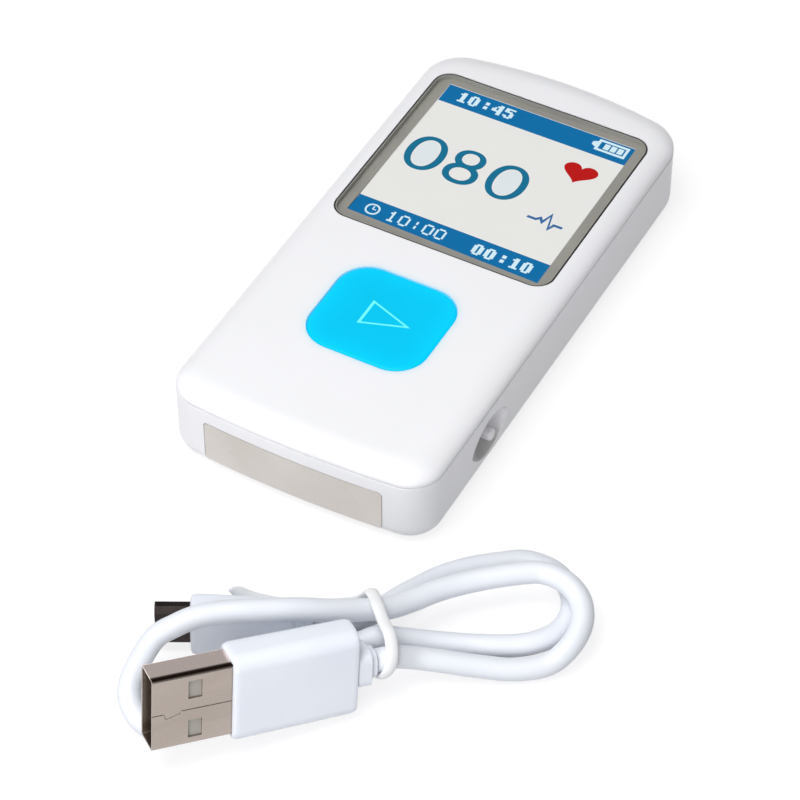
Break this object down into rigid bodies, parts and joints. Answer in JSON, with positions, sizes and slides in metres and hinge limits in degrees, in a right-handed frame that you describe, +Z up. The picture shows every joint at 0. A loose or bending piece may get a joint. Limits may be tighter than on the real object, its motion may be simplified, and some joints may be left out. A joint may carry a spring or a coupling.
{
  "type": "pocket ecg monitor",
  "caption": "Flat pocket ECG monitor with a colour display, a lit button and metal finger electrodes, with its tied charging cable beside it.",
  "frame": {"origin": "under the middle of the monitor's body, on the surface that it lies on", "axes": "+X to the side with the strap scoop, +Y towards the display end, +Z up out of the face"},
  "size_m": [0.075, 0.1471, 0.0176],
  "materials": {
    "housing": "satin white moulding",
    "window": "clear, warm grey printed border",
    "adhesive": "black foam tape",
    "panel": "lit display",
    "white_plastic": "matte white moulding",
    "ribbon": "amber film",
    "dark_plastic": "black moulding",
    "switch": "dark grey moulding",
    "button": "light blue, lit from inside",
    "lights": "small white lights",
    "electrode": "fine matte plate",
    "gold": "gold-plated",
    "board": "green solder mask",
    "chips": "black packages",
    "tin": "tinned sheet",
    "cell": "foil pouch",
    "foam": "dark grey foam",
    "plug_housing": "ivory moulding",
    "leads": "red insulation",
    "screw": "plain steel",
    "cord": "satin white sleeve",
    "tie": "white coated wire",
    "plug_shell": "plain nickel-plated sheet",
    "small_shell": "nickel-plated sheet in shade",
    "grip": "satin white moulding"
  },
  "bodies": {
    "monitor": {"bottom_shell": "housing", "top_shell": "housing", "display_window": "window", "window_adhesive": "adhesive", "display_panel": "panel", "display_carrier": "white_plastic", "display_ribbon": "ribbon", "ribbon_connector": "dark_plastic", "tact_switch": "switch", "button_light_frame": "white_plastic", "button_lights": "lights", "front_electrode": "electrode", "top_electrode": "electrode", "back_electrode": "electrode", "contact_pins": "gold", "main_board": "board", "board_chips": "chips", "shield_can": "tin", "buzzer": "dark_plastic", "battery": "cell", "battery_foam": "foam", "battery_plug": "plug_housing", "battery_leads": "leads", "charging_socket": "tin", "socket_insulator": "dark_plastic", "case_screws": "screw"},
    "button": {"power_button": "button", "switch_plunger": "dark_plastic"},
    "cable": {"charging_cord": "cord", "cable_tie": "tie", "usb_a_shell": "plug_shell", "usb_a_insulator": "white_plastic", "usb_a_contacts": "gold", "usb_a_grip": "grip", "small_plug_shell": "small_shell", "small_plug_insulator": "dark_plastic", "small_plug_grip": "grip"}
  },
  "joints": [
    {"name": "button_press", "type": "slide", "parent": "monitor", "child": "button", "axis": [0, 0, -1], "range_m": [0, 0.0005], "stiffness_N_per_m": 2500},
    {"name": "cable_lift", "type": "slide", "parent": "monitor", "child": "cable", "axis": [0, 0, 1], "range_m": [0, 0.03]}
  ]
}
